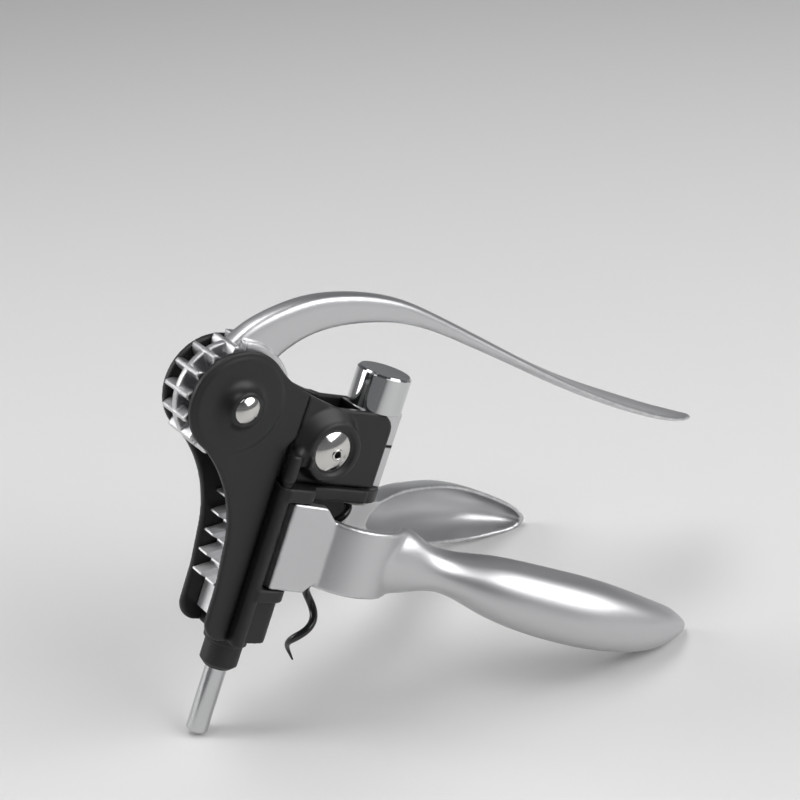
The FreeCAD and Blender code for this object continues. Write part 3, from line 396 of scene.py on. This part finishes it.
def makeCasting(name, look):  # carved, filled, rounded, blended and mirrored to the far side
    piece = bpy.data.objects.new(name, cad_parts[look["node"]].data.copy())
    scene.collection.objects.link(piece)
    shape = bmesh.new()
    shape.from_mesh(piece.data)
    bmesh.ops.remove_doubles(shape, verts=shape.verts, dist=shaping["sameCorner"])
    shape.to_mesh(piece.data)
    for low, high in look.get("carved", ()):
        carveBox(piece, low, high)
    shape.clear()
    shape.from_mesh(piece.data)
    for start, end, startRadius, endRadius in look.get("limbs", ()):
        addLimb(shape, start, end, startRadius / perMetre, endRadius / perMetre)
    for flare in look.get("flares", ()):
        addFlare(shape, *flare)
    shape.to_mesh(piece.data)
    shape.free()
    skin = piece.modifiers.new("skin", "REMESH")
    skin.mode = "VOXEL"
    skin.voxel_size = look["voxel"] / perMetre
    addSmoothing(piece, look["rounding"])
    bakeModifiers(piece)
    keepLargestPart(piece)
    for index, (middle, reach, passes) in enumerate(look.get("blends", ())):
        group = piece.vertex_groups.new(name="blend" + str(index))
        for vertex in piece.data.vertices:
            far = (vertex.co - middle).length * perMetre / reach
            if far < 1:
                weight = min(1.0, shaping["blendRise"] * (1 - far))
                group.add([vertex.index], weight, "REPLACE")
        addSmoothing(piece, passes, group.name)
    bakeModifiers(piece)
    finishCasting(piece, look["node"], look["body"])
    if "twin" in look:
        twin = bpy.data.objects.new(look["twin"], piece.data.copy())
        scene.collection.objects.link(twin)
        twin.data.transform(Matrix.Scale(-1, 4, Vector((0, 1, 0))))
        twin.data.flip_normals()
        finishCasting(twin, look["twinNode"], look["twinBody"])
    print(name, len(piece.data.polygons), "faces")


def finishCasting(piece, node, body):
    piece.data.materials.clear()
    piece.data.materials.append(materials[nodeFinish[node]])
    piece.data.shade_smooth()
    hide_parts(node)
    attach(piece, body)


castings = {  # millimetres, except that rounding and the last number of a blend count smoothing passes
    "nearPlate": dict(node="near_side_plate", body="frame", voxel=0.4, rounding=5,
                      twin="farPlate", twinNode="far_side_plate", twinBody="frame"),
    "yokeFrame": dict(node="frame_body", body="frame", voxel=0.4, rounding=5),
    "nearShell": dict(node="near_carriage_shell", body="carriage", voxel=0.35, rounding=5,
                      twin="farShell", twinNode="far_carriage_shell", twinBody="carriage",
                      carved=[((25.0, -14.0, -17.5), (28.4, -10.9, -12.0))],
                      limbs=[(upright(23.6, -11.0, -20.3), upright(23.6, -11.0, -16.5), 2.2, 2.2),
                             (upright(23.6, -11.0, -16.5), upright(26.5, -8.6, -11.5), 2.2, 2.0)],
                      flares=[((35.2, -7.6, -8.8), (36.6, -11.0, -10.3), 11.7, 9.5)],
                      blends=[(upright(25.6, -10.4, -14.6), 6.5, 25), (upright(35.5, -7.6, -8.8), 15.5, 10)]),
    "nearGrip": dict(node="near_handle", body="near_jaw", voxel=0.45, rounding=5,
                     twin="farGrip", twinNode="far_handle", twinBody="far_jaw",
                     blends=[(openJaw(72.5, -9.0, -42.5), 15.0, 60)]),
}
for name, look in castings.items():
    makeCasting(name, look)
print("castings rounded")


# Eyelet: a bright turned-over rim round the bore of the carriage's tubular rivet, on both heads

eyelet = {"line": 37.0, "depth": -10.6, "crest": 13.2, "radius": 1.5, "thickness": 0.42,  # millimetres
          "around": 40, "over": 12}  # steps round the bore and round the rim's section


def makeEyelet(name, side):
    shape = bmesh.new()
    around, over, rings = eyelet["around"], eyelet["over"], []
    for step in range(around):
        turn = 2 * math.pi * step / around
        ring = []
        for part in range(over):
            tilt = 2 * math.pi * part / over
            out = eyelet["radius"] + eyelet["thickness"] * math.cos(tilt)
            ring.append(shape.verts.new(upright(
                eyelet["line"] + out * math.cos(turn),
                side * (eyelet["crest"] + eyelet["thickness"] * math.sin(tilt)),
                eyelet["depth"] + out * math.sin(turn))))
        rings.append(ring)
    for ring, following in zip(rings, rings[1:] + rings[:1]):
        for part in range(over):
            after = (part + 1) % over
            shape.faces.new([ring[part], ring[after], following[after], following[part]])
    bmesh.ops.recalc_face_normals(shape, faces=shape.faces)
    mesh = bpy.data.meshes.new(name)
    shape.to_mesh(mesh)
    shape.free()
    mesh.shade_smooth()
    mesh.materials.append(materials["nickelRivet"])
    rim = bpy.data.objects.new(name, mesh)
    scene.collection.objects.link(rim)
    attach(rim, "carriage")


makeEyelet("nearEyelet", -1)
makeEyelet("farEyelet", 1)
print("eyelets turned over")


# Floor, room, lights and camera

studio = {
    "floorColour": (0.68, 0.68, 0.675), "floorRoughness": 0.7, "floorHalf": 1.6,
    "horizonColour": (0.28, 0.285, 0.295), "zenithColour": (0.10, 0.10, 0.11), "roomStrength": 0.8,
    "zenithFrom": 0.8,  # the height, as a share of straight up, from which the room is all zenith colour
    "target": (0.0, 0.0, 0.06),
}
lamps = {  # watts, metres and degrees
    "keyBox": dict(power=18.0, width=1.6, height=0.9, spread=180.0, place=(0.70, -0.85, 0.95)),
    "leftStrip": dict(power=1.5, width=0.45, height=0.9, spread=70.0, place=(-1.0, 0.70, 0.60)),
    "fillBox": dict(power=10.0, width=1.2, height=0.6, spread=180.0, place=(-0.3, 0.3, 1.40)),
}


def makeFloor():
    half = studio["floorHalf"]
    corners = [(-half, -half, 0), (half, -half, 0), (half, half, 0), (-half, half, 0)]
    mesh = bpy.data.meshes.new("studioFloor")
    mesh.from_pydata(corners, [], [(0, 1, 2, 3)])
    floor = bpy.data.objects.new("studioFloor", mesh)
    scene.collection.objects.link(floor)
    material = bpy.data.materials.new("floorPaper")
    material.use_nodes = True
    shader = material.node_tree.nodes["Principled BSDF"]
    shader.inputs["Base Color"].default_value = (*studio["floorColour"], 1.0)
    shader.inputs["Roughness"].default_value = studio["floorRoughness"]
    mesh.materials.append(material)


def makeLamp(name, lamp):
    data = bpy.data.lights.new(name, "AREA")
    data.shape = "RECTANGLE"
    data.energy = lamp["power"]
    data.size = lamp["width"]
    data.size_y = lamp["height"]
    data.spread = math.radians(lamp["spread"])
    light = bpy.data.objects.new(name, data)
    light.location = lamp["place"]
    aim = Vector(studio["target"]) - Vector(lamp["place"])
    light.rotation_euler = aim.to_track_quat("-Z", "Y").to_euler()
    scene.collection.objects.link(light)


def makeRoom():  # dim at the horizon and darker overhead, so that the metal has a gradient to mirror
    world = bpy.data.worlds.new("softRoom")
    world.use_nodes = True
    tree = world.node_tree
    back = tree.nodes["Background"]
    back.inputs["Strength"].default_value = studio["roomStrength"]
    place = addNode(tree, "ShaderNodeTexCoord", (-900, 0))
    split = addNode(tree, "ShaderNodeSeparateXYZ", (-700, 0))
    fade = addNode(tree, "ShaderNodeMapRange", (-500, 0), interpolation_type="SMOOTHSTEP")
    setInputs(fade, From_Min=0.0, From_Max=studio["zenithFrom"])
    colour = addNode(tree, "ShaderNodeMix", (-250, 0), data_type="RGBA")
    colour.inputs["A"].default_value = (*studio["horizonColour"], 1.0)
    colour.inputs["B"].default_value = (*studio["zenithColour"], 1.0)
    tree.links.new(place.outputs["Generated"], split.inputs["Vector"])
    tree.links.new(split.outputs["Z"], fade.inputs["Value"])
    tree.links.new(fade.outputs["Result"], colour.inputs["Factor"])
    tree.links.new(colour.outputs["Result"], back.inputs["Color"])
    scene.world = world


makeFloor()
for name, lamp in lamps.items():
    makeLamp(name, lamp)
makeRoom()

view = {"azimuth": -35.251, "elevation": 26.327, "roll": 0.116,  # degrees
        "distance": 0.6464, "target": (-0.01144, 0.01462, 0.08539), "clipStart": 0.01,  # metres
        "lens": 90.0, "sensor": 36.0}  # millimetres


def makeCamera():
    across, up = math.radians(view["azimuth"]), math.radians(view["elevation"])
    away = Vector((math.sin(across) * math.cos(up), -math.cos(across) * math.cos(up), math.sin(up)))
    data = bpy.data.cameras.new("photoCamera")
    data.lens = view["lens"]
    data.sensor_width = view["sensor"]
    data.clip_start = view["clipStart"]
    camera = bpy.data.objects.new("photoCamera", data)
    camera.location = Vector(view["target"]) + away * view["distance"]
    level = (-away).to_track_quat("-Z", "Y")
    camera.rotation_euler = (level @ Quaternion((0, 0, 1), math.radians(view["roll"]))).to_euler()
    scene.collection.objects.link(camera)
    scene.camera = camera


makeCamera()
scene.view_settings.view_transform = "Standard"
print("studio ready")
